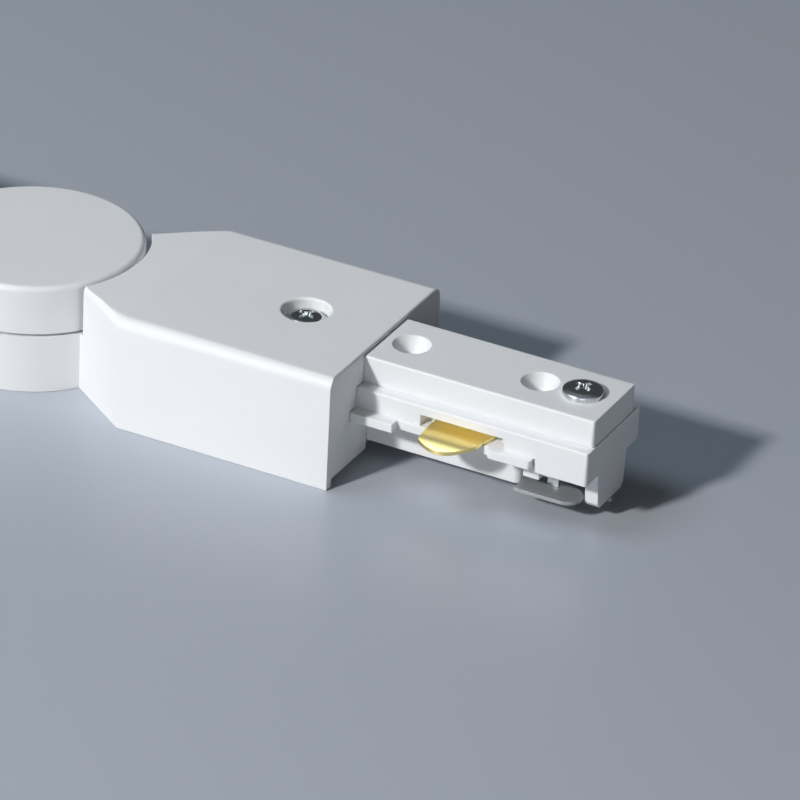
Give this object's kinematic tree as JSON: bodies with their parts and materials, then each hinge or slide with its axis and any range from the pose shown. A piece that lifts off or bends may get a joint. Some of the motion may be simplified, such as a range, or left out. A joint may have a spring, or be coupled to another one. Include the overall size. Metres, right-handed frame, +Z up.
{
  "type": "swivel straight connector for lighting track",
  "caption": "Hinged connector that joins lighting tracks in line or at an angle: two flat white arms on a round half-lap hinge, each ending in a plug with brass contacts.",
  "frame": {"origin": "on the hinge axis, at the flat face the connector rests on", "axes": "+X along the connector towards the arm with the lower hinge disc, +Z up along the hinge axis, the side with the screws up"},
  "size_m": [0.197, 0.035, 0.0191],
  "materials": {
    "white_plastic": "smooth moulded, semi gloss",
    "contact_brass": "punched and bent strip",
    "contact_nickel": "nickel plated strip",
    "screw_steel": "zinc plated",
    "spring_steel": "hardened, oiled",
    "washer_fibre": "pressed fibre",
    "wire_brown": "satin insulation",
    "wire_blue": "satin insulation",
    "wire_green": "satin insulation"
  },
  "bodies": {
    "lower_arm": {"lower_housing": "white_plastic", "lower_base_plate": "white_plastic", "lower_housing_screw": "screw_steel", "lower_plug_cap": "white_plastic", "lower_plug_body": "white_plastic", "lower_plug_keel": "white_plastic", "lower_nose_screw": "screw_steel", "lower_line_contact": "contact_brass", "lower_neutral_contact": "contact_brass", "lower_earth_contact": "contact_nickel", "lower_line_wire": "wire_brown", "lower_neutral_wire": "wire_blue", "lower_earth_wire": "wire_green", "friction_washer": "washer_fibre", "pressure_washer": "spring_steel"},
    "upper_arm": {"upper_housing": "white_plastic", "upper_base_plate": "white_plastic", "upper_housing_screw": "screw_steel", "upper_plug_cap": "white_plastic", "upper_plug_body": "white_plastic", "upper_plug_keel": "white_plastic", "upper_nose_screw": "screw_steel", "upper_line_contact": "contact_brass", "upper_neutral_contact": "contact_brass", "upper_earth_contact": "contact_nickel", "upper_line_wire": "wire_brown", "upper_neutral_wire": "wire_blue", "upper_earth_wire": "wire_green", "pivot_plate": "white_plastic", "pivot_screws": "screw_steel", "retaining_ring": "spring_steel"}
  },
  "joints": [
    {"name": "swivel", "type": "hinge", "parent": "lower_arm", "child": "upper_arm", "pos_m": [0, 0, 0.00965], "axis": [0, 0, 1], "range_deg": [-105, 105]}
  ]
}
